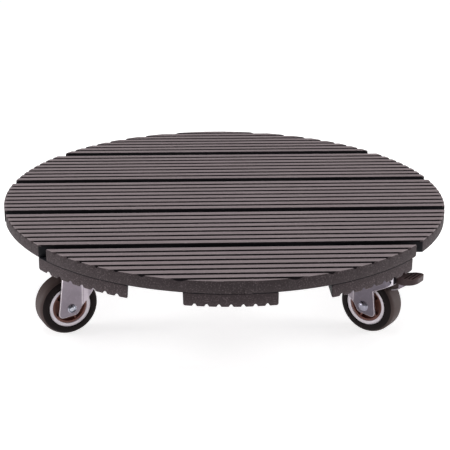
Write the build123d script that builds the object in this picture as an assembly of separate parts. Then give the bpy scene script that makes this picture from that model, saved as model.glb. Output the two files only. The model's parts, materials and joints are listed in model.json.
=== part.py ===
from build123d import *
import os

# Plant pot caddy: a round slatted deck of five grooved composite boards, screwed to three
# battens of the same board turned over, on four swivel casters. Two casters have a foot brake.
# Millimetres. The origin is on the floor under the middle of the deck, +Z up, +Y to the rear.

# Deck
DECK_RADIUS = 190.0
BOARD_THICKNESS = 10.5
BOARD_WIDTH = 70.8
BOARD_PITCH = 78.6
BATTEN_PITCH = 112.0
BATTEN_SHIFT_X = -5.0           # battens and casters sit a little left of the deck's middle
CASTER_SHIFT_X = -6.3
RIB_PITCH = 9.05
GROOVES = 7
GROOVE_TOP_WIDTH = 3.6
GROOVE_FLOOR_WIDTH = 1.1
GROOVE_DEPTH = 2.0
BOARD_EDGE_CHAMFER = 0.9
SCREW_OFFSET = 2.5 * RIB_PITCH  # from a batten's middle to the screws on either side, in its grooves
OUTER_SCREW_INSET = 14.0        # screws of the outer boards stand nearer the middle than the board's line
SCREW_EDGE_MARGIN = 12.0

# Casters, with the swivel axis as the local Z axis and the wheel trailing along local +X
CASTER_HEIGHT = 70.0
CASTER_X = 106.7
CASTER_Y = 68.0
TRAIL = 24.0
CASTERS = {                     # side of the frame in X and Y, direction the wheel trails, brake
    "front_left": (-1, -1, 203.9, False),
    "front_right": (1, -1, -39.6, True),
    "rear_left": (-1, 1, 148.0, True),
    "rear_right": (1, 1, 62.0, False),
}

# Wheel
WHEEL_RADIUS = 25.0
WHEEL_WIDTH = 20.0
TYRE_SHOULDER = 5.6
BAND_RADIUS = 17.9
BAND_RECESS = 1.0
BAND_CHAMFER = 0.5
HUB_RADIUS = 14.7
HUB_RECESS = 1.8
HUB_WALL = 1.6
HUB_WEB = 9.0
HUB_DRAFT = 0.6                 # the boss is this much wider at the web than at its ends
HUB_BOSS_RADIUS = 7.0
HUB_BOSS_GAP = 0.3              # between the boss and each leg of the fork
HUB_RIBS = 5
HUB_FIRST_RIB = -30.0
HUB_RIB_THICKNESS = 1.4
HUB_RIB_RECESS = 0.8
HUB_RIB_ROOT = 0.4              # how far a rib runs into the boss and the wall
RUNNING_CLEARANCE = 0.05

# Fork
FORK_INSIDE = 23.0
FORK_SHEET = 2.0
CROWN_RADIUS = 20.5
CROWN_TOP = 61.0
CROWN_SHEET = 2.5
CROWN_LIP = 4.5
OPEN_REAR = 40.0                # how far the inside of a fork without a rear wall runs on
LEG_TOP_REAR = 29.9
LEG_BOTTOM_REAR = 35.5
LEG_BOTTOM = 17.0
LEG_BOTTOM_FRONT = (19.0, 19.0)
LEG_TOP_FRONT = -4.0
LEG_REAR_FILLET = 3.5
LEG_FRONT_FILLET = 5.0

# Swivel bearing
PLATE_SIZE = 58.0
PLATE_SHEET = 2.0
PLATE_CORNER = 6.0
PLATE_HOLE_PITCH = 46.0
DISH_RADIUS = 22.5
DISH_WALL = 1.5
DISH_FLOOR_TOP = 66.0
DISH_FLOOR_RADIUS = 19.0
SKIRT_BOTTOM = 61.5
BALL_RADIUS = 2.0
BALL_CIRCLE = 14.5
BALLS = 18
BALL_CENTRE_Z = 62.3
BALL_CLEARANCE = 0.3
KING_PIN_RADIUS = 5.0
KING_PIN_HEAD = 8.0
KING_PIN_HEAD_HEIGHT = 1.8
KING_PIN_DOME = 2.2
CROWN_GAP = 0.3                 # between the king pin's lower head and the crown that turns on it

# Axle
AXLE_RADIUS = 3.0
AXLE_HEAD_RADIUS = 4.6
AXLE_HEAD_HEIGHT = 2.2
AXLE_END_RADIUS = 2.3
AXLE_END_HEIGHT = 1.8
WASHER_RADIUS = 3.7
WASHER_THICKNESS = 1.2
WASHER_EDGE = 0.7
WASHER_GAP = 0.4
BUSH_RADIUS = 4.5

# Foot brake
HOOD_END = 50.5
HOOD_CORNER = 9.0
HOOD_SLOT = 13.8
HOOD_START = 18.0
HOOD_LOW_FRONT = (31.0, 39.2)
HOOD_LOW_REAR = (52.5, 51.0)
BRAKE_PIVOT = (46.0, 51.5)
BRAKE_PIN_RADIUS = 1.5
BRAKE_PIN_HEAD = 2.4
BRAKE_BARREL_RADIUS = 4.0
PEDAL_TIP = (68.3, 58.1)
PEDAL_SLOPE = 0.16
PEDAL_UNDER_SLOPE = 0.254       # the pedal is thicker towards its root
PEDAL_THICKNESS = 4.5           # at the tip
PEDAL_ROOT = (41.0, 52.0)       # the narrow part that goes into the hood
PEDAL_ROOT_WIDTH = 12.6
PEDAL_SHOULDER = 58.5           # the pedal has its full width from here on
PEDAL_WIDTH = 19.0
PEDAL_TIP_FILLET = 6.2
TREAD_GROOVES = 3               # across the pedal
TREAD_GROOVE_START = 57.6
TREAD_GROOVE_PITCH = 3.4
TREAD_GROOVE_WIDTH = 1.3
TREAD_GROOVE_LENGTH = 14.6
TREAD_GROOVE_DEPTH = 0.8
FOOT_FRONT = 46.4
FOOT_REAR = 51.3
FOOT_TOP = 51.0
FOOT_WIDTH = 10.0
SHOE_SHEET = 1.0
SHOE_WIDTH = 11.0
SHOE_TOE = (45.3, 41.8)
SHOE_HEEL = (51.6, 44.4)
SHOE_MEET = 58.4                # where the strip reaches the pedal's underside
SHOE_REAR = 64.0
SHOE_WEB_SHEET = 0.8            # the webs at the shoe's sides, between heel and pedal

# Screws
SCREW_RADIUS = 2.0
SCREW_HEAD_RADIUS = 3.6
SCREW_HEAD_HEIGHT = 2.2
SCREW_TIP = 3.0
DECK_SCREW_LENGTH = 18.0
PLATE_SCREW_LENGTH = 9.5
PLATE_SCREW_HEAD_RADIUS = 3.8
PLATE_SCREW_HEAD_HEIGHT = 2.0
PLATE_HOLE_RADIUS = 2.6
DRIVE_LENGTH = 4.4
DRIVE_WIDTH = 0.9
DRIVE_DEPTH = 1.6

AXLE_Z = WHEEL_RADIUS
BATTEN_BOTTOM = CASTER_HEIGHT
PLATE_BOTTOM = BATTEN_BOTTOM - PLATE_SHEET
BOARD_BOTTOM = BATTEN_BOTTOM + BOARD_THICKNESS
DECK_TOP = BOARD_BOTTOM + BOARD_THICKNESS
FORK_OUTSIDE = FORK_INSIDE + 2 * FORK_SHEET
BOARD_NAMES = ("front", "front_inner", "centre", "rear_inner", "rear")
BATTEN_NAMES = ("left", "centre", "right")


def save(node, shape):
    export_step(shape, f"parts/{node}.step")


def group(solids):
    return Compound(children=list(solids))


def turned(*points):
    """A solid turned about Z from (radius, height) corners."""
    face = make_face(Plane.XZ * Polyline(*points, close=True))
    return revolve(face, Axis.Z)


def rod(radius, low, high):
    return Pos(0, 0, low) * Cylinder(radius, high - low, align=(Align.CENTER, Align.CENTER, Align.MIN))


def across(shape):
    """Turn a shape built along Z so that it lies along local Y, through the axle's height."""
    return Pos(TRAIL, 0, AXLE_Z) * Rot(-90, 0, 0) * shape


def side_plate(points, width):
    """A prism across the caster, from (x, z) corners, centred on the wheel."""
    face = make_face(Plane.XZ * Polyline(*points, close=True))
    return extrude(face, width / 2, both=True)


# ---------------------------------------------------------------- deck

def board_section():
    """Board cross-section: grooves in the upper face, chamfered long edges."""
    half, top, cut = BOARD_WIDTH / 2, BOARD_THICKNESS, BOARD_EDGE_CHAMFER
    points = [(-half + cut, 0), (-half, cut), (-half, top - cut), (-half + cut, top)]
    for number in range(GROOVES):
        middle = (number - (GROOVES - 1) / 2) * RIB_PITCH
        wide, narrow, floor = GROOVE_TOP_WIDTH / 2, GROOVE_FLOOR_WIDTH / 2, top - GROOVE_DEPTH
        points += [(middle - wide, top), (middle - narrow, floor)]
        points += [(middle + narrow, floor), (middle + wide, top)]
    points += [(half - cut, top), (half, top - cut), (half, cut), (half - cut, 0)]
    return points


def board_blank():
    """A long straight board along X, grooved face up, its underside at Z = 0."""
    face = make_face(Plane.YZ * Polyline(*board_section(), close=True))
    return extrude(face, DECK_RADIUS + 5, both=True)


def board_centres():
    return [(number - 2) * BOARD_PITCH for number in range(len(BOARD_NAMES))]


def batten_centres():
    return [BATTEN_SHIFT_X + (number - 1) * BATTEN_PITCH for number in range(len(BATTEN_NAMES))]


def deck_screw_places():
    """Two screws at every crossing of a board and a batten, clear of the caster plates' screws."""
    places = []
    for x in batten_centres():
        for name, y in zip(BOARD_NAMES, board_centres()):
            inset = {"front": OUTER_SCREW_INSET, "rear": -OUTER_SCREW_INSET}.get(name, 0)
            for offset_x in (-SCREW_OFFSET, SCREW_OFFSET):
                spot = Vector(x + offset_x, y + inset)
                if spot.length < DECK_RADIUS - SCREW_EDGE_MARGIN:
                    places.append((spot.X, spot.Y))
    return places


def cross_recess(low):
    """Cross-shaped recess for the driver, cut upwards from height low."""
    centre = Pos(0, 0, low)
    slot, cross_slot = (DRIVE_LENGTH, DRIVE_WIDTH, DRIVE_DEPTH), (DRIVE_WIDTH, DRIVE_LENGTH, DRIVE_DEPTH)
    return centre * (Box(*slot) + Box(*cross_slot))


def screw_pocket():
    """The space a deck screw fills in batten and board, with its head flush below."""
    neck, end = BATTEN_BOTTOM + SCREW_HEAD_HEIGHT, BATTEN_BOTTOM + DECK_SCREW_LENGTH
    return turned((0, BATTEN_BOTTOM), (SCREW_HEAD_RADIUS, BATTEN_BOTTOM), (SCREW_RADIUS, neck),
                  (SCREW_RADIUS, end - SCREW_TIP), (0, end))


def deck_screw():
    return screw_pocket() - cross_recess(BATTEN_BOTTOM)


def plate_screw():
    """Pan-head screw that holds a caster's plate up against its batten."""
    wide, low = PLATE_SCREW_HEAD_RADIUS, PLATE_BOTTOM - PLATE_SCREW_HEAD_HEIGHT
    end = BATTEN_BOTTOM + PLATE_SCREW_LENGTH
    body = turned((0, low), (wide - 1.2, low), (wide, low + 1.1), (wide, PLATE_BOTTOM),
                  (SCREW_RADIUS, PLATE_BOTTOM), (SCREW_RADIUS, end - SCREW_TIP), (0, end))
    return body - cross_recess(low)


def plate_screw_places():
    half = PLATE_HOLE_PITCH / 2
    places = []
    for side_x, side_y, _, _ in CASTERS.values():
        centre_x, centre_y = CASTER_SHIFT_X + side_x * CASTER_X, side_y * CASTER_Y
        for dx in (-half, half):
            for dy in (-half, half):
                places.append((centre_x + dx, centre_y + dy))
    return places


def make_deck():
    round_outline = rod(DECK_RADIUS, 0, DECK_TOP + 5)
    pockets = [Pos(x, y, 0) * screw_pocket() for x, y in deck_screw_places()]
    pilot = rod(SCREW_RADIUS, BATTEN_BOTTOM, BATTEN_BOTTOM + PLATE_SCREW_LENGTH)
    pilots = [Pos(x, y, 0) * pilot for x, y in plate_screw_places()]
    for name, y in zip(BOARD_NAMES, board_centres()):
        board = Pos(0, y, BOARD_BOTTOM) * board_blank() & round_outline
        near = [pocket for pocket in pockets if abs(pocket.center().Y - y) < BOARD_WIDTH / 2]
        save(f"deck_board_{name}", board - near)
    for name, x in zip(BATTEN_NAMES, batten_centres()):
        turned_over = Rot(180, 0, 90) * board_blank()
        batten = Pos(x, 0, BOARD_BOTTOM) * turned_over & round_outline
        near = [cut for cut in pockets + pilots if abs(cut.center().X - x) < BATTEN_PITCH / 2]
        save(f"batten_{name}", batten - near)
    save("deck_screws", group(Pos(x, y, 0) * deck_screw() for x, y in deck_screw_places()))
    save("caster_screws", group(Pos(x, y, 0) * plate_screw() for x, y in plate_screw_places()))


# ---------------------------------------------------------------- wheel

def tyre():
    half, edge, round_r = WHEEL_WIDTH / 2, WHEEL_RADIUS, TYRE_SHOULDER
    section = make_face(Plane.XZ * (
        Polyline((BAND_RADIUS, -half), (edge - round_r, -half))
        + RadiusArc((edge - round_r, -half), (edge, -half + round_r), -round_r)
        + Line((edge, -half + round_r), (edge, half - round_r))
        + RadiusArc((edge, half - round_r), (edge - round_r, half), -round_r)
        + Polyline((edge - round_r, half), (BAND_RADIUS, half), (BAND_RADIUS, -half))))
    return across(revolve(section, Axis.Z))


def wheel_band():
    """The light ring between tyre and hub, seen as a narrow band on both faces."""
    half, edge = WHEEL_WIDTH / 2 - BAND_RECESS, BAND_CHAMFER
    return across(turned((HUB_RADIUS, -half), (BAND_RADIUS - edge, -half), (BAND_RADIUS, -half + edge),
                         (BAND_RADIUS, half - edge), (BAND_RADIUS - edge, half), (HUB_RADIUS, half)))


def wheel_hub():
    """Moulded hub: bore boss, thick web, radial ribs and an outer wall."""
    half = WHEEL_WIDTH / 2 - HUB_RECESS
    web = HUB_WEB / 2
    boss_end = FORK_INSIDE / 2 - HUB_BOSS_GAP
    bore, boss, foot = BUSH_RADIUS + RUNNING_CLEARANCE, HUB_BOSS_RADIUS, HUB_BOSS_RADIUS + HUB_DRAFT
    inner = HUB_RADIUS - HUB_WALL
    body = turned((bore, -boss_end), (boss, -boss_end), (foot, -web), (inner, -web), (inner, -half),
                  (HUB_RADIUS, -half), (HUB_RADIUS, half), (inner, half), (inner, web), (foot, web),
                  (boss, boss_end), (bore, boss_end))
    length = inner - boss + 2 * HUB_RIB_ROOT
    rib = Pos((inner + boss) / 2, 0, 0) * Box(length, HUB_RIB_THICKNESS, 2 * (half - HUB_RIB_RECESS))
    for number in range(HUB_RIBS):
        body += Rot(0, 0, HUB_FIRST_RIB + number * 360 / HUB_RIBS) * rib
    return across(body)


# ---------------------------------------------------------------- fork and bearing

def fork_outline(rear, corner):
    """Plan of the fork: the round crown and the parallel sides behind it."""
    sides = Pos(rear / 2, 0) * Rectangle(rear, FORK_OUTSIDE)
    if corner:
        sides = fillet(sides.vertices().group_by(Axis.X)[-1], corner)
    return Circle(CROWN_RADIUS) + sides


def leg_side():
    """Side view of the legs, hanging from the crown to below the axle."""
    rear_top, rear_low = (LEG_TOP_REAR, CROWN_TOP), (LEG_BOTTOM_REAR, LEG_BOTTOM)
    front_top = (LEG_TOP_FRONT, CROWN_TOP)
    flat = make_face(Plane.XZ * Polyline(rear_top, rear_low, LEG_BOTTOM_FRONT, front_top, close=True))
    solid = extrude(flat, FORK_OUTSIDE, both=True)
    front, rear = solid.edges().filter_by(Axis.Y).sort_by(Axis.Z)[:2].sort_by(Axis.X)
    solid = fillet(front, LEG_FRONT_FILLET)
    rear = solid.edges().filter_by(Axis.Y).sort_by(Axis.X)[-1]
    return fillet(rear, LEG_REAR_FILLET)


def hood_side():
    """Side view of the brake caster's hood, which reaches back over the wheel."""
    points = [(HOOD_START, CROWN_TOP), (HOOD_LOW_REAR[0], CROWN_TOP), HOOD_LOW_REAR, HOOD_LOW_FRONT,
              (HOOD_START, HOOD_LOW_FRONT[1])]
    return side_plate(points, 2 * FORK_OUTSIDE)


def pressed_shell(rear, inside_rear, corner):
    """Crown and sides pressed from sheet, open underneath, and at the rear where the inside runs on."""
    outer = extrude(fork_outline(rear, corner), CROWN_TOP)
    inside = offset(fork_outline(inside_rear, corner), -FORK_SHEET)
    return outer - extrude(inside, CROWN_TOP - CROWN_SHEET)


def open_shell():
    return pressed_shell(LEG_BOTTOM_REAR + 1, LEG_BOTTOM_REAR + OPEN_REAR, 0)


def hood_shell():
    """The hood's closed end, with the slot in which the pedal moves."""
    shell = pressed_shell(HOOD_END, HOOD_END, HOOD_CORNER) & hood_side()
    slot_height = CROWN_TOP - CROWN_SHEET
    return shell - Pos(HOOD_END, 0, slot_height / 2) * Box(HOOD_CORNER, HOOD_SLOT, slot_height)


def crown_lip():
    """The crown's turned-down rim, left out where the wheel passes."""
    low, under = CROWN_TOP - CROWN_LIP, CROWN_TOP - CROWN_SHEET
    lip = rod(CROWN_RADIUS, low, CROWN_TOP) - rod(CROWN_RADIUS - FORK_SHEET, low, under)
    mouth = Pos(CROWN_RADIUS, 0, (low + under) / 2) * Box(CROWN_RADIUS, FORK_INSIDE, under - low)
    return lip - mouth


def ball_groove(clearance):
    """Ring-shaped ball track around the swivel axis."""
    return Pos(0, 0, BALL_CENTRE_Z) * Torus(BALL_CIRCLE, BALL_RADIUS + clearance)


def fork(braked):
    shape = open_shell() & leg_side()
    shape += crown_lip()
    if braked:
        shape += hood_shell()
        shape -= brake_bore()
    shape -= rod(KING_PIN_RADIUS + RUNNING_CLEARANCE, CROWN_TOP - CROWN_SHEET, CROWN_TOP)
    shape -= ball_groove(0)
    return shape - across(rod(AXLE_RADIUS, -FORK_OUTSIDE, FORK_OUTSIDE))


def top_plate():
    """Square mounting plate with a dished middle that carries the ball track."""
    top, under = BATTEN_BOTTOM, PLATE_BOTTOM
    plate = Pos(0, 0, (top + under) / 2) * Box(PLATE_SIZE, PLATE_SIZE, PLATE_SHEET)
    plate = fillet(plate.edges().filter_by(Axis.Z), PLATE_CORNER)
    plate -= rod(DISH_RADIUS - DISH_WALL, under, top)
    floor, inner = DISH_FLOOR_TOP - PLATE_SHEET, DISH_RADIUS - DISH_WALL
    plate += turned((KING_PIN_RADIUS, floor), (DISH_FLOOR_RADIUS, floor), (inner, under - PLATE_SHEET),
                    (inner, SKIRT_BOTTOM), (DISH_RADIUS, SKIRT_BOTTOM), (DISH_RADIUS, top), (inner, top),
                    (DISH_FLOOR_RADIUS - 1, DISH_FLOOR_TOP), (KING_PIN_RADIUS, DISH_FLOOR_TOP))
    hole = rod(PLATE_HOLE_RADIUS, under, top)
    half = PLATE_HOLE_PITCH / 2
    for x in (-half, half):
        for y in (-half, half):
            plate -= Pos(x, y, 0) * hole
    return plate - ball_groove(BALL_CLEARANCE)


def race_balls():
    ball = Pos(BALL_CIRCLE, 0, BALL_CENTRE_Z) * Sphere(BALL_RADIUS)
    return group(Rot(0, 0, number * 360 / BALLS) * ball for number in range(BALLS))


def king_pin():
    """Rivet through plate and crown, its wide head under the crown and its formed head in the dish."""
    shank, head = KING_PIN_RADIUS, KING_PIN_HEAD
    under, upper = CROWN_TOP - CROWN_SHEET - CROWN_GAP, DISH_FLOOR_TOP
    base, dome = under - KING_PIN_HEAD_HEIGHT, upper + KING_PIN_DOME
    return turned((0, base), (head - 1, base), (head, base + 1), (head, under), (shank, under),
                  (shank, upper), (head, upper), (head - 0.6, dome - 0.6), (0, dome))


# ---------------------------------------------------------------- axle

def axle_rivet():
    """Axle with a domed head on one side and a small peened end on the other."""
    out = FORK_OUTSIDE / 2
    head, high = AXLE_HEAD_RADIUS, AXLE_HEAD_HEIGHT
    ball = (head ** 2 + high ** 2) / (2 * high)
    dome = Pos(0, 0, -out - high + ball) * Sphere(ball) & rod(head, -out - high, -out)
    shank = rod(AXLE_RADIUS, -out, out)
    end, tip = AXLE_END_RADIUS, out + AXLE_END_HEIGHT
    peened = turned((0, out), (end, out), (end, tip - 0.8), (0.7 * end, tip - 0.2), (0, tip))
    return across(dome + shank + peened)


def axle_washer():
    """Dished washer around the peened end."""
    out = FORK_OUTSIDE / 2
    inner, outer = AXLE_END_RADIUS + WASHER_GAP, WASHER_RADIUS
    edge, top = out + WASHER_EDGE, out + WASHER_THICKNESS
    return across(turned((inner, out), (outer, out), (outer, edge), (outer - 0.5, top), (inner + 0.5, top),
                         (inner, edge)))


def axle_bush():
    half = FORK_INSIDE / 2
    return across(turned((AXLE_RADIUS, -half), (BUSH_RADIUS, -half), (BUSH_RADIUS, half),
                         (AXLE_RADIUS, half)))


# ---------------------------------------------------------------- foot brake

def at_pivot(shape):
    """Turn a shape built along Z so that it lies across the caster at the brake's pivot."""
    return Pos(BRAKE_PIVOT[0], 0, BRAKE_PIVOT[1]) * Rot(-90, 0, 0) * shape


def brake_bore():
    return at_pivot(rod(BRAKE_PIN_RADIUS, -FORK_OUTSIDE, FORK_OUTSIDE))


def brake_pin():
    reach = FORK_OUTSIDE / 2 - 0.2
    heads = rod(BRAKE_PIN_HEAD, -reach - 1, -reach) + rod(BRAKE_PIN_HEAD, reach, reach + 1)
    return at_pivot(rod(BRAKE_PIN_RADIUS, -reach, reach) + heads)


def pedal_top(x):
    return PEDAL_TIP[1] - PEDAL_SLOPE * (PEDAL_TIP[0] - x)


def pedal_under(x):
    return PEDAL_TIP[1] - PEDAL_THICKNESS - PEDAL_UNDER_SLOPE * (PEDAL_TIP[0] - x)


def pedal_plan():
    """Plan of the pedal: a narrow root in the hood, widening to the tread with its rounded end."""
    root, neck = PEDAL_ROOT
    narrow, wide, tip = PEDAL_ROOT_WIDTH / 2, PEDAL_WIDTH / 2, PEDAL_TIP[0]
    right = [(root, -narrow), (neck, -narrow), (PEDAL_SHOULDER, -wide), (tip, -wide)]
    left = [(x, -y) for x, y in reversed(right)]
    plan = make_face(Polyline(*right, *left, close=True))
    return fillet(plan.vertices().group_by(Axis.X)[-1], PEDAL_TIP_FILLET)


def tread_groove(middle):
    """A groove across the tread."""
    start, end = middle - TREAD_GROOVE_WIDTH / 2, middle + TREAD_GROOVE_WIDTH / 2
    above = [(start, pedal_top(start) + 1), (end, pedal_top(end) + 1)]
    floor = [(end, pedal_top(end) - TREAD_GROOVE_DEPTH), (start, pedal_top(start) - TREAD_GROOVE_DEPTH)]
    return side_plate(above + floor, TREAD_GROOVE_LENGTH)


def shoe_upper(x):
    """Height of the upper side of the shoe between toe and heel."""
    rise = (SHOE_HEEL[1] - SHOE_TOE[1]) / (SHOE_HEEL[0] - SHOE_TOE[0])
    return SHOE_TOE[1] + SHOE_SHEET + rise * (x - SHOE_TOE[0])


def pedal_foot():
    """The part that points down to the tyre and backs the shoe's toe."""
    return side_plate([(FOOT_FRONT, shoe_upper(FOOT_FRONT)), (FOOT_REAR, shoe_upper(FOOT_REAR)),
                       (FOOT_REAR, FOOT_TOP), (FOOT_FRONT, FOOT_TOP)], FOOT_WIDTH)


def brake_pedal():
    root, tip = PEDAL_ROOT[0], PEDAL_TIP[0]
    slab = side_plate([(root, pedal_top(root)), (tip, pedal_top(tip)), (tip, pedal_under(tip)),
                       (root, pedal_under(root))], PEDAL_WIDTH)
    pedal = slab & extrude(pedal_plan(), DECK_TOP)
    half_root = PEDAL_ROOT_WIDTH / 2
    pedal += pedal_foot() + at_pivot(rod(BRAKE_BARREL_RADIUS, -half_root, half_root))
    for number in range(TREAD_GROOVES):
        pedal -= tread_groove(TREAD_GROOVE_START + number * TREAD_GROOVE_PITCH)
    return pedal - at_pivot(rod(BRAKE_PIN_RADIUS + RUNNING_CLEARANCE, -half_root, half_root))


def shoe_web(side):
    """Three-cornered web that stiffens one side of the shoe, between heel and pedal."""
    front, foot = SHOE_HEEL[0], SHOE_HEEL[1] + SHOE_SHEET
    corners = [(front, foot), (SHOE_MEET, pedal_under(SHOE_MEET)), (front, pedal_under(front))]
    return Pos(0, side * (SHOE_WIDTH - SHOE_WEB_SHEET) / 2, 0) * side_plate(corners, SHOE_WEB_SHEET)


def brake_shoe():
    """Bent steel strip under the pedal, with a web at each side; its toe is what grips the tyre."""
    toe, heel, sheet = SHOE_TOE, SHOE_HEEL, SHOE_SHEET
    lower = [toe, heel, (SHOE_MEET + 0.5, pedal_under(SHOE_MEET) - sheet),
             (SHOE_REAR, pedal_under(SHOE_REAR) - sheet)]
    upper = [(SHOE_REAR, pedal_under(SHOE_REAR)), (SHOE_MEET, pedal_under(SHOE_MEET)),
             (heel[0], heel[1] + sheet), (toe[0], toe[1] + sheet)]
    return side_plate(lower + upper, SHOE_WIDTH) + shoe_web(-1) + shoe_web(1)


# ---------------------------------------------------------------- assembly

def caster_pieces():
    """The pieces every caster has, apart from its fork."""
    return {"top_plate": top_plate(), "king_pin": king_pin(), "race_balls": race_balls(), "tyre": tyre(),
            "wheel_band": wheel_band(), "wheel_hub": wheel_hub(), "axle_rivet": axle_rivet(),
            "axle_washer": axle_washer(), "axle_bush": axle_bush()}


def make_casters():
    pieces = caster_pieces()
    brake = {"brake_pedal": brake_pedal(), "brake_shoe": brake_shoe(), "brake_pin": brake_pin()}
    forks = {False: fork(False), True: fork(True)}
    for corner, (side_x, side_y, direction, braked) in CASTERS.items():
        spot = Pos(CASTER_SHIFT_X + side_x * CASTER_X, side_y * CASTER_Y, 0)
        turn = spot * Rot(0, 0, direction)
        for name, shape in pieces.items():
            place = spot if name == "top_plate" else turn
            save(f"{corner}_{name}", place * shape)
        save(f"{corner}_fork", turn * forks[braked])
        if braked:
            for name, shape in brake.items():
                save(f"{corner}_{name}", turn * shape)


os.makedirs("parts", exist_ok=True)
make_deck()
make_casters()
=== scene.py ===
import json
import math

import bmesh
import bpy
from mathutils import Matrix, Vector, noise


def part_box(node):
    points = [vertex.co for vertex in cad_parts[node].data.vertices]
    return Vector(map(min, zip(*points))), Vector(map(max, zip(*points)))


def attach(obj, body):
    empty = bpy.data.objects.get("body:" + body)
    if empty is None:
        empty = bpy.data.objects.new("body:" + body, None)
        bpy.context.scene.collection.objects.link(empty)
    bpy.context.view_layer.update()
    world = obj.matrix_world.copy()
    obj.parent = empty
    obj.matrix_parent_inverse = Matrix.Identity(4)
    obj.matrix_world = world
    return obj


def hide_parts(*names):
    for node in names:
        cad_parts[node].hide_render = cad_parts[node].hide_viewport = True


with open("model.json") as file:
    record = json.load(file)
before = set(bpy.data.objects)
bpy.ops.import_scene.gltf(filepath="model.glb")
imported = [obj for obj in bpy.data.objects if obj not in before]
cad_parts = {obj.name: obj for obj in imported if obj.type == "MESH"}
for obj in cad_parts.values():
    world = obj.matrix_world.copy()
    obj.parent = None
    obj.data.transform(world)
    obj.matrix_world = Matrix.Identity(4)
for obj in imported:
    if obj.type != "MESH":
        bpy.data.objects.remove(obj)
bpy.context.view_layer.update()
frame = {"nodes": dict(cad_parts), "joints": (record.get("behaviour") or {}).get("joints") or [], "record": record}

# Plant pot caddy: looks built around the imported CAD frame. Metres, +Z up, boards along X.
MM = 0.001
CORNERS = ("front_left", "front_right", "rear_left", "rear_right")
BRAKED = ("front_right", "rear_left")
BOARDS = ("front", "front_inner", "centre", "rear_inner", "rear")
BATTENS = ("left", "centre", "right")

JOINTS = {joint["name"]: joint for joint in frame["joints"]}
SLOTS = {part["node"]: part["material_slot"] for part in frame["record"]["subparts"]}


# ---------------------------------------------------------------- material nodes

NOISE_LOW, NOISE_HIGH = 0.3, 0.7    # nearly all of a noise lies between these
APART = (1.0, 0.7, 1.3)             # which way an offset moves a noise


class Shader:
    """One procedural material, with short calls for the nodes that feed it."""

    def __init__(self, name, color, roughness, metallic=0.0, specular=0.5):
        self.material = bpy.data.materials.new(name)
        self.material.use_nodes = True
        self.tree = self.material.node_tree
        self.bsdf = self.tree.nodes["Principled BSDF"]
        self.bsdf.inputs["Base Color"].default_value = (*color, 1)
        self.bsdf.inputs["Roughness"].default_value = roughness
        self.bsdf.inputs["Metallic"].default_value = metallic
        self.bsdf.inputs["Specular IOR Level"].default_value = specular
        self.where = self.tree.nodes.new("ShaderNodeTexCoord").outputs["Object"]
        self.roughness = roughness
        self.normal = None

    def link(self, source, target):
        self.tree.links.new(source, target)

    def noise(self, scale, detail=4, roughness=0.55, offset=0.0):
        """Noise with cells about 1 / scale metres across; scale is a number or one per axis."""
        scales = scale if isinstance(scale, tuple) else (scale, scale, scale)
        stretch = self.tree.nodes.new("ShaderNodeMapping")
        stretch.inputs["Scale"].default_value = scales
        stretch.inputs["Location"].default_value = tuple(offset * step for step in APART)
        self.link(self.where, stretch.inputs["Vector"])
        node = self.tree.nodes.new("ShaderNodeTexNoise")
        node.inputs["Scale"].default_value = 1.0
        node.inputs["Detail"].default_value = detail
        node.inputs["Roughness"].default_value = roughness
        self.link(stretch.outputs["Vector"], node.inputs["Vector"])
        return node.outputs["Fac"]

    def spread(self, value, low, high, to_low, to_high):
        """Rescale value from low..high to to_low..to_high, held at the ends."""
        node = self.tree.nodes.new("ShaderNodeMapRange")
        node.inputs["From Min"].default_value = low
        node.inputs["From Max"].default_value = high
        node.inputs["To Min"].default_value = to_low
        node.inputs["To Max"].default_value = to_high
        self.link(value, node.inputs["Value"])
        return node.outputs["Result"]

    def tint(self, value, low, high, amount, color):
        """Mix a colour into the base: none of it where value is low, amount where it is high."""
        node = self.tree.nodes.new("ShaderNodeMix")
        node.data_type = "RGBA"
        base = self.bsdf.inputs["Base Color"]
        if base.is_linked:
            self.link(base.links[0].from_socket, node.inputs["A"])
        else:
            node.inputs["A"].default_value = tuple(base.default_value)
        node.inputs["B"].default_value = (*color, 1)
        self.link(self.spread(value, low, high, 0.0, amount), node.inputs["Factor"])
        self.link(node.outputs["Result"], base)

    def rough(self, value, less, more):
        """Let the roughness follow value, from less below its own figure to more above it."""
        wander = self.spread(value, NOISE_LOW, NOISE_HIGH, self.roughness - less,
                             self.roughness + more)
        self.link(wander, self.bsdf.inputs["Roughness"])

    def bump(self, value, depth, strength):
        """Raise the surface by value times depth, in metres, on top of earlier bumps."""
        node = self.tree.nodes.new("ShaderNodeBump")
        node.inputs["Distance"].default_value = depth
        node.inputs["Strength"].default_value = strength
        self.link(value, node.inputs["Height"])
        if self.normal is not None:
            self.link(self.normal, node.inputs["Normal"])
        self.normal = node.outputs["Normal"]
        self.link(self.normal, self.bsdf.inputs["Normal"])


def along(axis, length, width):
    """Noise scales for streaks that run along an axis, length metres long and width wide."""
    scales = [1 / width] * 3
    scales[axis] = 1 / length
    return tuple(scales)


def scaled(color, factor):
    """A colour made darker or lighter, held at white."""
    return tuple(min(1, channel * factor) for channel in color)


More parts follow.
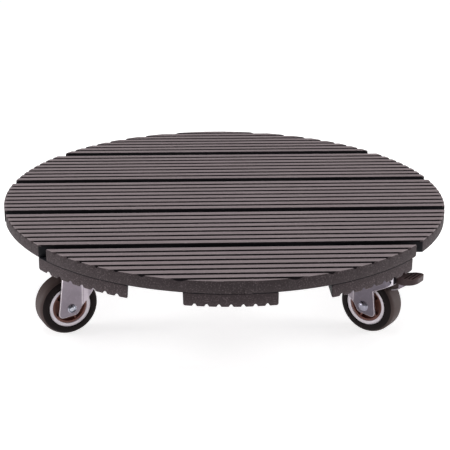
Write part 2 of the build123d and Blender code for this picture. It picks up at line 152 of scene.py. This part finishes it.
def composite_face(name, axis, color, lighter, streak, rough, specular):
    """Brushed face of a wood and plastic composite board, streaked along its length."""
    shader = Shader(name, color, rough, specular=specular)
    fine = shader.noise(along(axis, 60 * MM, 0.35 * MM), detail=3, roughness=0.6)
    broad = shader.noise(along(axis, 180 * MM, 3.5 * MM), offset=3.1)
    fleck = shader.noise(along(axis, 2.4 * MM, 0.5 * MM), detail=2, roughness=0.5, offset=7.7)
    patch = shader.noise(28.0, detail=3, offset=1.7)
    shader.tint(fine, low=0.38, high=0.66, amount=streak, color=lighter)
    shader.tint(broad, low=0.35, high=0.68, amount=0.45, color=scaled(color, 0.72))
    shader.tint(fleck, low=0.6, high=0.74, amount=0.7, color=scaled(lighter, 1.6))
    shader.tint(patch, low=0.35, high=0.65, amount=0.22, color=scaled(color, 0.85))
    shader.rough(fine, less=0.08, more=0.1)
    shader.bump(fine, depth=0.06 * MM, strength=0.7)
    shader.bump(fleck, depth=0.04 * MM, strength=0.6)
    return shader.material


def composite_cut(name, color):
    """Sawn end of a composite board: dark matrix with pale wood particles, darkened further as painted shade."""
    shader = Shader(name, color, 0.72, specular=0.1)
    grain = shader.noise(1500.0, detail=3, roughness=0.6)
    chips = shader.noise((950.0, 950.0, 1200.0), detail=1, roughness=0.4, offset=5.2)
    cloud = shader.noise(60.0, detail=3, offset=2.2)
    saw = shader.noise((140.0, 140.0, 3200.0), detail=2, offset=9.3)
    shader.tint(grain, low=0.4, high=0.64, amount=0.6, color=scaled(color, 0.62))
    shader.tint(chips, low=0.58, high=0.7, amount=0.7, color=scaled(color, 2.5))
    shader.tint(cloud, low=0.35, high=0.65, amount=0.25, color=scaled(color, 0.8))
    shader.rough(grain, less=0.1, more=0.1)
    shader.bump(saw, depth=0.015 * MM, strength=0.4)
    shader.bump(grain, depth=0.07 * MM, strength=0.8)
    return shader.material


def zinc_sheet(name, color, rough):
    """Zinc plated pressed steel: satin, faintly mottled, with fine drawing marks."""
    shader = Shader(name, color, rough, metallic=1.0)
    cloud = shader.noise(70.0, offset=0.6)
    spangle = shader.noise(420.0, detail=2, roughness=0.5, offset=4.4)
    draw = shader.noise((2200.0, 2200.0, 90.0), detail=2, offset=8.1)
    shader.tint(cloud, low=0.35, high=0.68, amount=0.35, color=scaled(color, 0.8))
    shader.tint(spangle, low=0.5, high=0.75, amount=0.35, color=scaled(color, 1.3))
    shader.rough(cloud, less=0.07, more=0.12)
    shader.bump(draw, depth=0.012 * MM, strength=0.5)
    shader.bump(spangle, depth=0.012 * MM, strength=0.4)
    return shader.material


def headed_steel(name, color, rough):
    """Turned or headed steel: fine scratches and light tarnish."""
    shader = Shader(name, color, rough, metallic=1.0)
    scratch = shader.noise((600.0, 3000.0, 3000.0), detail=3, offset=2.9)
    tarnish = shader.noise(260.0, offset=6.1)
    shader.tint(tarnish, low=0.45, high=0.7, amount=0.4, color=scaled(color, 0.6))
    shader.rough(tarnish, less=0.05, more=0.12)
    shader.bump(scratch, depth=0.01 * MM, strength=0.5)
    return shader.material


def moulded(name, color, lighter, rough, grain, depth, specular):
    """Moulded plastic or rubber: fine pebbled skin, a faint bloom and a few light specks."""
    shader = Shader(name, color, rough, specular=specular)
    pebble = shader.noise(grain, detail=3, roughness=0.5)
    bloom = shader.noise(45.0, offset=3.7)
    speck = shader.noise(grain * 1.7, detail=1, offset=8.8)
    shader.tint(bloom, low=0.35, high=0.7, amount=0.5, color=lighter)
    shader.tint(speck, low=0.62, high=0.78, amount=0.35, color=scaled(lighter, 1.6))
    shader.rough(bloom, less=0.06, more=0.12)
    shader.bump(pebble, depth=depth, strength=0.6)
    return shader.material


# Finishes of a board: brushed ribs, the unbrushed skin in the grooves painted darker as shade, sawn ends, and long
# sides painted near black as the shade in the gaps.
FACES = {
    "rib": dict(color=(0.208, 0.17, 0.178), lighter=(0.29, 0.243, 0.252),
                streak=0.75, rough=0.58, specular=0.14),
    # Grooves: the unbrushed skin, painted much darker as the shade in the narrow grooves.
    "skin": dict(color=(0.007, 0.0055, 0.0068), lighter=(0.015, 0.012, 0.014),
                 streak=0.5, rough=0.6, specular=0.04),
    # Long sides and underside: the smooth side face, painted near black as the shade in the gaps between boards.
    "side": dict(color=(0.009, 0.009, 0.011), lighter=(0.014, 0.014, 0.017),
                 streak=0.5, rough=0.5, specular=0.06),
}
# Sawn-end colours, darkened as painted shade; the board's is darker than the batten's as painted shade.
CUTS = {"board": (0.0475, 0.037, 0.0395), "batten": (0.054, 0.0415, 0.0445)}
LENGTHWISE = {"board": 0, "batten": 1}    # the axis that each kind of board runs along

# Colour and roughness. The braked casters' sheet, pin and axle dome are darker, as painted shade.
ZINC_SHEETS = {
    "zinc_steel": ((0.225, 0.195, 0.226), 0.36),
    # Bend and flare: the zinc painted lighter, as painted highlights.
    "zinc_bend_highlight": ((0.29, 0.255, 0.292), 0.36),
    "zinc_flare_highlight": ((0.385, 0.338, 0.38), 0.34),
    "zinc_shaded": ((0.132, 0.115, 0.138), 0.36),
    "zinc_shaded_bend_highlight": ((0.16, 0.14, 0.16), 0.36),
    "zinc_shaded_flare_highlight": ((0.2, 0.175, 0.2), 0.34),
    # Hood: a painted highlight on its corner and painted shade on its end.
    "zinc_hood_highlight": ((0.52, 0.485, 0.54), 0.3),
    "zinc_hood_end_shade": ((0.02, 0.017, 0.02), 0.5),
    # Edges: the zinc painted lighter along eased and sheared edges, as painted highlight.
    "zinc_shaded_edge_highlight": ((0.48, 0.43, 0.47), 0.4),
    "zinc_edge_highlight": ((0.62, 0.565, 0.6), 0.4),
}
HEADED_STEELS = {
    "zinc_pin_shaded": ((0.17, 0.15, 0.18), 0.4),
    "zinc_dome_shaded": ((0.31, 0.3, 0.36), 0.26),
    "bright_steel": ((0.47, 0.48, 0.54), 0.26),
    "bearing_steel": ((0.66, 0.66, 0.68), 0.12),
    "screw_steel": ((0.5, 0.5, 0.51), 0.34),
}
# grain is how many cells of the pebbled skin there are in a metre, depth how high they stand.
MOULDINGS = {
    "tyre_rubber": dict(color=(0.051, 0.0345, 0.033), lighter=(0.063, 0.043, 0.041),
                        rough=0.55, grain=1100.0, depth=0.03 * MM, specular=0.12),
    # Tyre sides and shoulders: the rubber painted darker than the tread, as shade.
    "tyre_side_shade": dict(color=(0.0105, 0.0072, 0.0075), lighter=(0.015, 0.0105, 0.0107),
                      rough=0.6, grain=1100.0, depth=0.03 * MM, specular=0.08),
    "band_plastic": dict(color=(0.78, 0.71, 0.77), lighter=(0.84, 0.78, 0.83),
                         rough=0.34, grain=500.0, depth=0.01 * MM, specular=0.5),
    "hub_plastic": dict(color=(0.15, 0.058, 0.045), lighter=(0.18, 0.074, 0.058),
                        rough=0.42, grain=700.0, depth=0.02 * MM, specular=0.3),
    "bush_plastic": dict(color=(0.7, 0.69, 0.64), lighter=(0.75, 0.74, 0.7),
                         rough=0.4, grain=700.0, depth=0.01 * MM, specular=0.5),
    # Pedal's upper side: its plastic painted lighter, as painted light.
    "pedal_top_lit": dict(color=(0.15, 0.1, 0.098), lighter=(0.19, 0.13, 0.125),
                        rough=0.5, grain=1000.0, depth=0.03 * MM, specular=0.2),
    "pedal_plastic": dict(color=(0.041, 0.0235, 0.0255), lighter=(0.06, 0.038, 0.04),
                          rough=0.42, grain=1000.0, depth=0.03 * MM, specular=0.2),
}


def make_materials():
    made = {}
    for kind, axis in LENGTHWISE.items():
        for part, look in FACES.items():
            made[f"{kind}_{part}"] = composite_face(f"{kind}_{part}", axis, **look)
        made[f"{kind}_cut"] = composite_cut(f"{kind}_cut", CUTS[kind])
    for name, (color, rough) in ZINC_SHEETS.items():
        made[name] = zinc_sheet(name, color, rough)
    for name, (color, rough) in HEADED_STEELS.items():
        made[name] = headed_steel(name, color, rough)
    for name, look in MOULDINGS.items():
        made[name] = moulded(name, **look)
    return made


MATERIALS = make_materials()


# ---------------------------------------------------------------- mesh helpers

MERGE = 0.002 * MM              # points closer than this are one point
TINY = 0.001 * MM
SHARP = 50.0                    # an edge is shown sharp when its faces turn this many degrees
TYRE_SHARP = 60.0
PRESSED_SHARP = 32.0            # on pressed and moulded pieces, whose edges are eased from here
EASE_SEGMENTS = 3
COPLANAR = math.radians(1.0)    # faces that turn less than this become one face
MOST_CUT = 0.45                 # share of a side that the rounding of one corner may take


def rounded(points, radius, steps, closed=True):
    """Round each corner of a flat outline with a short curve of about that radius."""
    count = len(points)
    result = []
    for index, point in enumerate(points):
        if not closed and index in (0, count - 1):
            result.append(tuple(point))
            continue
        here = Vector(point)
        before = Vector(points[index - 1]) - here
        after = Vector(points[(index + 1) % count]) - here
        cut = min(radius, MOST_CUT * before.length, MOST_CUT * after.length)
        start = here + before.normalized() * cut
        end = here + after.normalized() * cut
        for step in range(steps + 1):
            t = step / steps
            spot = start * (1 - t) ** 2 + here * (2 * t * (1 - t)) + end * t ** 2
            result.append(tuple(spot))
    return result


def shown(name, mesh, sharp):
    """An object for a mesh, shaded smooth apart from edges of sharp degrees or more."""
    mesh.shade_smooth()
    mesh.set_sharp_from_angle(angle=math.radians(sharp))
    piece = bpy.data.objects.new(name, mesh)
    bpy.context.scene.collection.objects.link(piece)
    return piece


def mesh_object(name, vertices, faces, materials, indices=None, sharp=SHARP):
    """An object from plain lists, with its doubles merged and its normals outward."""
    mesh = bpy.data.meshes.new(name)
    mesh.from_pydata(vertices, [], faces)
    for material in materials:
        mesh.materials.append(material)
    if indices:
        mesh.polygons.foreach_set("material_index", indices)
    work = bmesh.new()
    work.from_mesh(mesh)
    bmesh.ops.remove_doubles(work, verts=work.verts, dist=MERGE)
    bmesh.ops.dissolve_degenerate(work, edges=work.edges, dist=TINY)
    bmesh.ops.recalc_face_normals(work, faces=work.faces)
    work.to_mesh(mesh)
    work.free()
    return shown(name, mesh, sharp)


def lathe(name, outline, material, segments, sharp=SHARP):
    """Turn a closed (radius, distance) outline about the Y axis."""
    vertices, faces = [], []
    count = len(outline)
    for segment in range(segments):
        angle = 2 * math.pi * segment / segments
        for radius, distance in outline:
            vertices.append((radius * math.cos(angle), distance, radius * math.sin(angle)))
    for segment in range(segments):
        here, there = segment * count, ((segment + 1) % segments) * count
        for index in range(count):
            after = (index + 1) % count
            faces.append((here + index, here + after, there + after, there + index))
    return mesh_object(name, vertices, faces, [material], sharp=sharp)


def stand_for(piece, node):
    """Ride on the body of a CAD node and be shown in its place."""
    bodies = frame["record"]["behaviour"]["bodies"]
    body = next(name for name, nodes in bodies.items() if node in nodes)
    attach(piece, body)
    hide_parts(node)


def refined(node, materials, ease, flat=None):
    """A copy of a CAD piece with its hard edges eased, as pressed or moulded edges are.

    The last of the materials is for the eased edges, which are ease metres wide. For a fork,
    flat is the direction that its flat side plates face.
    """
    mesh = frame["nodes"][node].data.copy()
    work = bmesh.new()
    work.from_mesh(mesh)
    bmesh.ops.remove_doubles(work, verts=work.verts, dist=MERGE)
    bmesh.ops.dissolve_limit(work, angle_limit=COPLANAR, verts=work.verts, edges=work.edges)
    if flat is not None:
        soften_creases(work, flat)
    work.to_mesh(mesh)
    work.free()
    mesh.materials.clear()
    for material in materials:
        mesh.materials.append(material)
    piece = shown(f"{node}_piece", mesh, PRESSED_SHARP)
    bevel = piece.modifiers.new("eased_edges", "BEVEL")
    bevel.width = ease
    bevel.segments = EASE_SEGMENTS
    bevel.use_clamp_overlap = flat is None
    bevel.limit_method = "ANGLE"
    bevel.angle_limit = math.radians(PRESSED_SHARP)
    bevel.material = len(materials) - 1
    piece.modifiers.new("even_normals", "WEIGHTED_NORMAL").keep_sharp = True
    stand_for(piece, node)
    return piece


# ---------------------------------------------------------------- deck

DECK_LOW, DECK_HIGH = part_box("deck_board_centre")
DECK_RADIUS = (DECK_HIGH.x - DECK_LOW.x) / 2
BOARD_THICKNESS = DECK_HIGH.z - DECK_LOW.z
BOARD_WIDTH = DECK_HIGH.y - DECK_LOW.y
RIB_PITCH = 9.05 * MM
GROOVES = 7
GROOVE_TOP = 3.6 * MM
GROOVE_FLOOR = 1.1 * MM
GROOVE_DEPTH = 2.0 * MM
EDGE_EASE = 0.9 * MM            # along a board's long edges
RIB_EASE = 0.45 * MM            # along the edges of ribs and grooves
RIB_EASE_STEPS = 3
CUT_EASE = 0.3 * MM             # round the sawn ends
CUT_INSETS = (CUT_EASE, 0.35 * CUT_EASE, 0.0)    # from a sawn end to the full section
GROOVE_LIT_END = 1.8 * MM             # this near to a sawn end, the grooves take the lighter cut finish, as painted light where side light reaches into them
MOST_GROOVE_LIT = 0.25                # of the length, where the board is nearly cut away
END_STRIPS = 3                  # strips of faces that make an eased end and the painted light at the groove ends
ARC_STEP = math.radians(1.5)    # between points of the deck's round edge
STATION = 9.0 * MM              # between sections of a board
WAVER = 0.1 * MM                # how far the grooves stray to either side
WAVER_ALONG, WAVER_ACROSS, WAVER_APART = 30, 0.37, 50    # per metre, per point, per metre
BOARD_FINISHES = ("rib", "skin", "cut", "side")
RIB, SKIN_AND_SHADE, CUT, SHADED_SIDE = range(len(BOARD_FINISHES))


def board_top():
    """Upper side of a board's section, from one long edge to the other, as (across, height)."""
    half, top = BOARD_WIDTH / 2, BOARD_THICKNESS
    corners = [(-half, top / 2), (-half, top - EDGE_EASE), (-half + EDGE_EASE, top)]
    for number in range(GROOVES):
        middle = (number - (GROOVES - 1) / 2) * RIB_PITCH
        corners += [(middle - GROOVE_TOP / 2, top), (middle - GROOVE_FLOOR / 2, top - GROOVE_DEPTH)]
        corners += [(middle + GROOVE_FLOOR / 2, top - GROOVE_DEPTH), (middle + GROOVE_TOP / 2, top)]
    corners += [(half - EDGE_EASE, top), (half, top - EDGE_EASE), (half, top / 2)]
    return rounded(corners, RIB_EASE, RIB_EASE_STEPS, closed=False)


def on_disc(profile, centre):
    """The stretch of a profile that lies on the deck, with more points for its round edge."""
    turns = round(math.pi / 2 / ARC_STEP)
    marks = [DECK_RADIUS * math.sin(step * ARC_STEP) - centre for step in range(-turns, turns + 1)]
    result = [profile[0]]
    for (left, low), (right, high) in zip(profile, profile[1:]):
        for mark in marks:
            if left + CUT_EASE / 2 < mark < right - CUT_EASE / 2:
                result.append((mark, low + (high - low) * (mark - left) / (right - left)))
        result.append((right, high))
    return [(across, height) for across, height in result
            if abs(centre + across) < DECK_RADIUS + TINY]


def under_side(upper):
    """A point on the board's underside, with its eased edges, for each point of its upper side."""
    half = BOARD_WIDTH / 2
    return [(across, max(0.0, EDGE_EASE - (half - abs(across)))) for across, _ in upper]


def outward(loop):
    """Outward direction at each point of a closed section that runs over the top to the right."""
    result = []
    for index in range(len(loop)):
        ahead, behind = loop[(index + 1) % len(loop)], loop[index - 1]
        edge = Vector((ahead[0] - behind[0], ahead[1] - behind[1]))
        result.append(Vector((-edge.y, edge.x)).normalized())
    return result


def board_ring(loop, normals, centre, side, inset):
    """A section near a board's end: the sawn end when inset is CUT_EASE, the full section at 0."""
    ring = []
    radius = DECK_RADIUS - (CUT_EASE - inset)
    for (across, height), normal in zip(loop, normals):
        from_middle = centre + across - normal.x * inset
        from_middle = max(-radius, min(radius, from_middle))
        reach = math.sqrt(radius ** 2 - from_middle ** 2)
        ring.append((side * reach, from_middle - centre, height - normal.y * inset))
    return ring


def inward(near, far):
    """A point on a board's surface a little in from its sawn end, on the line to the other end."""
    length = abs(far[0] - near[0])
    share = min(MOST_GROOVE_LIT, GROOVE_LIT_END / length) if length > 0 else 0.0
    return (near[0] + (far[0] - near[0]) * share, near[1], near[2])


def board_rings(loop, normals, centre):
    """Sections from one sawn end to the other. The grooves waver a little between them."""
    start = [board_ring(loop, normals, centre, -1, inset) for inset in CUT_INSETS]
    end = [board_ring(loop, normals, centre, 1, inset) for inset in CUT_INSETS[::-1]]
    start.append([inward(left, right) for left, right in zip(start[-1], end[0])])
    end.insert(0, [inward(right, left) for left, right in zip(start[-2], end[0])])
    longest = 2 * max(point[0] for point in end[0])
    count = max(2, int(longest / STATION))
    middle = []
    for step in range(1, count):
        share = step / count
        ring = []
        for index, (left, right) in enumerate(zip(start[-1], end[0])):
            x = left[0] + (right[0] - left[0]) * share
            in_groove = BOARD_THICKNESS / 2 < left[2] < BOARD_THICKNESS - RIB_EASE / 2
            spot = Vector((x * WAVER_ALONG, index * WAVER_ACROSS, centre * WAVER_APART))
            sway = noise.noise(spot) if in_groove else 0.0
            ring.append((x, left[1] + sway * WAVER, left[2]))
        middle.append(ring)
    return start + middle + end


def zone(here, there, centre, at_end):
    """Which finish a strip of the board has, between two neighbouring points of its section."""
    if min(abs(centre + here[0]), abs(centre + there[0])) > DECK_RADIUS - CUT_EASE:
        return CUT
    if min(here[1], there[1]) > BOARD_THICKNESS - RIB_EASE / 2:
        return RIB
    # Below the grooves, the long sides and underside are painted near black as shade.
    if min(here[1], there[1]) < BOARD_THICKNESS - GROOVE_DEPTH - RIB_EASE:
        return SHADED_SIDE
    # Near a sawn end the grooves take the lighter cut finish as painted light; further in, the skin painted dark
    # as shade.
    return CUT if at_end else SKIN_AND_SHADE


def board_mesh(name, centre, kind):
    """A board across the round deck, cut to it at both ends. Along X, ribs up, underside at Z = 0.

    centre is how far its middle line lies from the middle of the deck, and kind is board or batten.
    """
    upper = on_disc(board_top(), centre)
    loop = upper + under_side(upper)[::-1]
    rings = board_rings(loop, outward(loop), centre)
    around = len(loop)
    last = len(rings) - 1
    vertices = [point for ring in rings for point in ring]
    faces, indices = [], []
    for ring in range(last):
        for index in range(around):
            after = (index + 1) % around
            here, there = ring * around, (ring + 1) * around
            faces.append((here + index, here + after, there + after, there + index))
            at_end = ring < END_STRIPS or ring >= last - END_STRIPS
            indices.append(zone(loop[index], loop[after], centre, at_end))
    for start in (0, last * around):
        for index in range(len(upper) - 1):
            below = around - 1 - index
            faces.append((start + index, start + index + 1, start + below - 1, start + below))
            indices.append(CUT)
    finishes = [MATERIALS[f"{kind}_{part}"] for part in BOARD_FINISHES]
    return mesh_object(name, vertices, faces, finishes, indices)


def board_place(name):
    """How far a board's middle line lies behind the deck's middle.

    It is counted from an inner board, since the outer boards' own boxes are cut short.
    """
    low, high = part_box("deck_board_rear_inner")
    return (BOARDS.index(name) - BOARDS.index("centre")) * (low.y + high.y) / 2


def make_deck():
    for name in BOARDS:
        node = f"deck_board_{name}"
        centre = board_place(name)
        piece = board_mesh(f"{node}_piece", centre, "board")
        piece.data.transform(Matrix.Translation((0, centre, DECK_LOW.z)))
        stand_for(piece, node)
    turned_over = Matrix.Rotation(math.pi / 2, 4, "Z") @ Matrix.Rotation(math.pi, 4, "X")
    for name in BATTENS:
        node = f"batten_{name}"
        low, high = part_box(node)
        centre = (low.x + high.x) / 2
        piece = board_mesh(f"{node}_piece", centre, "batten")
        piece.data.transform(Matrix.Translation((centre, 0, high.z)) @ turned_over)
        stand_for(piece, node)


# ---------------------------------------------------------------- forks

LEVEL = 0.95                    # a face looks up or down, if its normal is this upright
# How squarely a face of a fork looks along the axle, from 0 to 1.
FLAT_SHEET = 0.95               # a side plate, above this
BENT_SHEET = 0.85               # the start of a bend, above this
HOOD_BEND, HOOD_TURN = 0.87, 0.6    # the corner of the hood, between these, and its end, below
CROWN_LEAN = 0.5                # the crown beside a crease, from this to BENT_SHEET
SHEARED = 0.04                  # the sheet's own edge, below this
# Distances in front of the king pin.
CROWN_END = 14.0 * MM           # the painted highlight of the crown's flare lies behind this
HOOD_CORNER_START = 41.0 * MM   # ahead of this a braked fork's hood turns its corner
UPRIGHT = 0.99                  # an upright edge has this share of its length in height
CREASE_WIDTH = 1.6 * MM
CREASE_SEGMENTS = 6
ROUND = 0.5                     # the bevel tool's figure for a round profile
FORK_EASE = 0.4 * MM

# Finishes of a fork, and of the same places on a braked one, which has a hood: flat zinc, painted highlights on
# the bend, flare and hood corner, painted shade on the hood's end, and a painted highlight on the edges.
FLAT, BENT, FLARE_HIGHLIGHT, CORNER, HOOD_END, EDGE = range(6)
OPEN_FORK = ("zinc_steel", "zinc_bend_highlight", "zinc_flare_highlight", "zinc_flare_highlight", "zinc_flare_highlight", "zinc_edge_highlight")
BRAKED_FORK = ("zinc_shaded", "zinc_shaded_bend_highlight", "zinc_shaded_flare_highlight", "zinc_hood_highlight", "zinc_hood_end_shade",
               "zinc_shaded_edge_highlight")


def soften_creases(work, flat):
    """Round the creases where a fork's flat side plates run into its flared crown."""
    creases = []
    for edge in work.edges:
        if len(edge.link_faces) == 2 and not edge.is_convex:
            slants = sorted(abs(face.normal.dot(flat)) for face in edge.link_faces)
            height = abs(edge.verts[0].co.z - edge.verts[1].co.z)
            upright = height > UPRIGHT * edge.calc_length()
            if upright and slants[1] > FLAT_SHEET and CROWN_LEAN < slants[0] < BENT_SHEET:
                creases.append(edge)
    bmesh.ops.bevel(work, geom=creases, offset=CREASE_WIDTH, segments=CREASE_SEGMENTS,
                    profile=ROUND, affect="EDGES", clamp_overlap=False)


def fork_finish(face, flat, ahead):
    """Which finish a face of a fork has, by how squarely it looks along the axle: painted highlights and shade.
    ahead is how far in front of the king pin it lies.
    """
    slant = abs(face.normal.dot(flat))
    if abs(face.normal.z) > LEVEL or slant > FLAT_SHEET:
        return FLAT
    # The sheet's own edges take a painted highlight.
    if slant < SHEARED:
        return EDGE
    # A braked fork's hood: painted highlight on its corner, painted shade on its end.
    if ahead > HOOD_CORNER_START and slant < HOOD_BEND:
        return CORNER if slant > HOOD_TURN else HOOD_END
    return BENT if slant > BENT_SHEET or ahead > CROWN_END else FLARE_HIGHLIGHT


def make_fork(corner, place):
    """place is the caster's frame, whose Y axis is the direction that the flat side plates face."""
    finishes = [MATERIALS[name] for name in (BRAKED_FORK if corner in BRAKED else OPEN_FORK)]
    flat, back = place.to_3x3() @ Vector((0, 1, 0)), place.inverted()
    fork = refined(f"{corner}_fork", finishes, FORK_EASE, flat)
    for face in fork.data.polygons:
        face.material_index = fork_finish(face, flat, (back @ face.center).x)


# ---------------------------------------------------------------- casters

BAND_RADIUS = 17.9 * MM
BAND_RECESS = 1.0 * MM
BAND_EASE = 0.6 * MM
BAND_EASE_STEPS = 4
BAND_SEGMENTS = 128
HUB_RADIUS = 14.7 * MM
TYRE_HALF_WIDTH = 10.0 * MM
TYRE_SHOULDER = 5.6 * MM        # radius of the shoulder
SHOULDER_STEPS = 12
SHOULDER_DEPTH = 1.7 * MM       # the tread's finish ends this far below the tread
TYRE_SEGMENTS = 144
TREAD_AREA = 2e-5               # square metres; faces in a pedal's grooves are smaller
HUB_EASE = 0.25 * MM
PLATE_EASE = 0.3 * MM
PEDAL_EASE = 0.5 * MM
SHOE_EASE = 0.15 * MM


def caster_place(corner):
    """Caster frame on the floor under the king pin, +X to the wheel and +Y along the axle.

    The second frame is the same one moved to the middle of the wheel.
    """
    swivel = Vector(JOINTS[f"{corner}_swivel_turn"]["pos_m"])
    axle = Vector(JOINTS[f"{corner}_wheel_roll"]["pos_m"])
    ahead = Vector((axle.x - swivel.x, axle.y - swivel.y, 0))
    turn = math.atan2(ahead.y, ahead.x)
    place = Matrix.Translation((swivel.x, swivel.y, 0)) @ Matrix.Rotation(turn, 4, "Z")
    return place, place @ Matrix.Translation((ahead.length, 0, axle.z))


def tyre_outline(radius, half):
    """Tyre section: flat sides, round shoulders and a flat tread."""
    points = [(BAND_RADIUS, -half), (radius - TYRE_SHOULDER, -half)]
    for step in range(1, SHOULDER_STEPS + 1):
        angle = math.pi / 2 * step / SHOULDER_STEPS
        points.append((radius - TYRE_SHOULDER + TYRE_SHOULDER * math.sin(angle),
                       -half + TYRE_SHOULDER - TYRE_SHOULDER * math.cos(angle)))
    return points + [(r, -d) for r, d in points[::-1]]


def paint_tyre_side_shade(tyre, radius):
    """Paint a tyre's sides and shoulders, which never touch the floor, darker than its tread, as painted shade."""
    tyre.data.materials.append(MATERIALS["tyre_side_shade"])
    for face in tyre.data.polygons:
        if math.hypot(face.center.x, face.center.z) < radius - SHOULDER_DEPTH:
            face.material_index = 1


def make_wheel(corner, at_axle):
    low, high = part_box(f"{corner}_tyre")
    radius = (high.z - low.z) / 2
    tyre = lathe(f"{corner}_tyre_piece", tyre_outline(radius, TYRE_HALF_WIDTH),
                 MATERIALS["tyre_rubber"], TYRE_SEGMENTS, TYRE_SHARP)
    paint_tyre_side_shade(tyre, radius)
    side = TYRE_HALF_WIDTH - BAND_RECESS
    section = [(HUB_RADIUS, -side), (BAND_RADIUS, -side), (BAND_RADIUS, side), (HUB_RADIUS, side)]
    band = lathe(f"{corner}_band_piece", rounded(section, BAND_EASE, BAND_EASE_STEPS),
                 MATERIALS["band_plastic"], BAND_SEGMENTS)
    for piece, node in ((tyre, f"{corner}_tyre"), (band, f"{corner}_wheel_band")):
        piece.data.transform(at_axle)
        stand_for(piece, node)


def light_pedal_top(pedal):
    """Paint the pedal's upper side lighter than its sides and grooves, as painted light."""
    for face in pedal.data.polygons:
        lit_top = face.normal.z > LEVEL and face.area > TREAD_AREA
        face.material_index = 0 if lit_top else 1


def make_casters():
    # Top plate and shoe: their eased edges take a painted highlight.
    sheet = [MATERIALS["zinc_steel"], MATERIALS["zinc_edge_highlight"]]
    pedal_lit_and_plain = [MATERIALS["pedal_top_lit"], MATERIALS["pedal_plastic"]]
    for corner in CORNERS:
        place, at_axle = caster_place(corner)
        make_wheel(corner, at_axle)
        refined(f"{corner}_wheel_hub", [MATERIALS["hub_plastic"]], HUB_EASE)
        make_fork(corner, place)
        refined(f"{corner}_top_plate", sheet, PLATE_EASE)
        if corner in BRAKED:
            light_pedal_top(refined(f"{corner}_brake_pedal", pedal_lit_and_plain, PEDAL_EASE))
            refined(f"{corner}_brake_shoe", sheet, SHOE_EASE)


# Braked casters' pins and axle domes take zinc painted darker, as shade.
BRAKED_SHADE_FINISH = {f"{corner}_{piece}": finish for corner in BRAKED
              for piece, finish in (("brake_pin", "zinc_pin_shaded"), ("axle_rivet", "zinc_dome_shaded"))}


def finish_cad_nodes():
    """CAD pieces whose shape is right keep it and take a procedural finish."""
    for name, node in frame["nodes"].items():
        if node.hide_render:
            continue
        node.data.materials.clear()
        node.data.materials.append(MATERIALS[BRAKED_SHADE_FINISH.get(name, SLOTS[name])])
        node.data.shade_smooth()


# ---------------------------------------------------------------- studio

CAMERA_AZIMUTH = math.radians(-3.26)
CAMERA_ELEVATION = math.radians(20.96)
CAMERA_ROLL = math.radians(0.5)
CAMERA_DISTANCE = 1.1087
AIM_RIGHT, AIM_UP = 0.0007, -0.0268    # metres from the middle of the deck's top, across the view
LENS, SENSOR = 101.6, 36.0

SOFTBOXES = {                   # spot, target, width and height, watts
    "top_softbox": ((0, -0.14, 1.12), (0, 0, 0.05), (0.95, 0.8), 10.6),
    "left_softbox": ((-1.4, 0, 0.2), (0, 0, 0.06), (0.8, 0.6), 14),
    "right_softbox": ((1.4, 0, 0.2), (0, 0, 0.06), (0.8, 0.6), 13.2),
}
WORLD_LIGHT = 0.15
FLOOR_REACH = 6.0
FLOOR_GLOW = 0.75


def make_camera():
    back = Vector((math.sin(CAMERA_AZIMUTH) * math.cos(CAMERA_ELEVATION),
                   -math.cos(CAMERA_AZIMUTH) * math.cos(CAMERA_ELEVATION),
                   math.sin(CAMERA_ELEVATION)))
    right = Vector((math.cos(CAMERA_AZIMUTH), math.sin(CAMERA_AZIMUTH), 0))
    up = back.cross(right)
    spot = Vector((0, 0, DECK_HIGH.z)) + right * AIM_RIGHT + up * AIM_UP + back * CAMERA_DISTANCE
    turn = Matrix((right, up, back)).transposed().to_4x4()
    data = bpy.data.cameras.new("camera")
    data.lens, data.sensor_width = LENS, SENSOR
    camera = bpy.data.objects.new("camera", data)
    camera.matrix_world = Matrix.Translation(spot) @ turn @ Matrix.Rotation(CAMERA_ROLL, 4, "Z")
    bpy.context.scene.collection.objects.link(camera)
    bpy.context.scene.camera = camera


def area_light(name, spot, target, size, power):
    data = bpy.data.lights.new(name, "AREA")
    data.shape, data.size, data.size_y = "RECTANGLE", size[0], size[1]
    data.energy = power
    light = bpy.data.objects.new(name, data)
    light.location = spot
    light.rotation_euler = (Vector(target) - Vector(spot)).to_track_quat("-Z", "Y").to_euler()
    bpy.context.scene.collection.objects.link(light)


def floor_material():
    """White floor that gives some light of its own, so that the shadow on it is faint."""
    shader = Shader("studio_floor", (0.86, 0.86, 0.86), 0.8, specular=0.2)
    grain = shader.noise(300.0, detail=3)
    shader.tint(grain, NOISE_LOW, NOISE_HIGH, amount=0.04, color=(0.8, 0.8, 0.8))
    shader.bsdf.inputs["Emission Color"].default_value = (1, 1, 1, 1)
    shader.bsdf.inputs["Emission Strength"].default_value = FLOOR_GLOW
    return shader.material


def make_studio():
    for name, (spot, target, size, power) in SOFTBOXES.items():
        area_light(name, spot, target, size, power)
    world = bpy.data.worlds.new("studio")
    world.use_nodes = True
    background = world.node_tree.nodes["Background"]
    background.inputs["Color"].default_value = (1, 1, 1, 1)
    background.inputs["Strength"].default_value = WORLD_LIGHT
    bpy.context.scene.world = world
    bpy.context.scene.view_settings.view_transform = "Standard"

    reach = FLOOR_REACH
    corners = [(-reach, -reach, 0), (reach, -reach, 0), (reach, reach, 0), (-reach, reach, 0)]
    floor = mesh_object("studio_floor", corners, [(0, 1, 2, 3)], [floor_material()])


make_camera()
make_deck()
make_casters()
finish_cad_nodes()
make_studio()
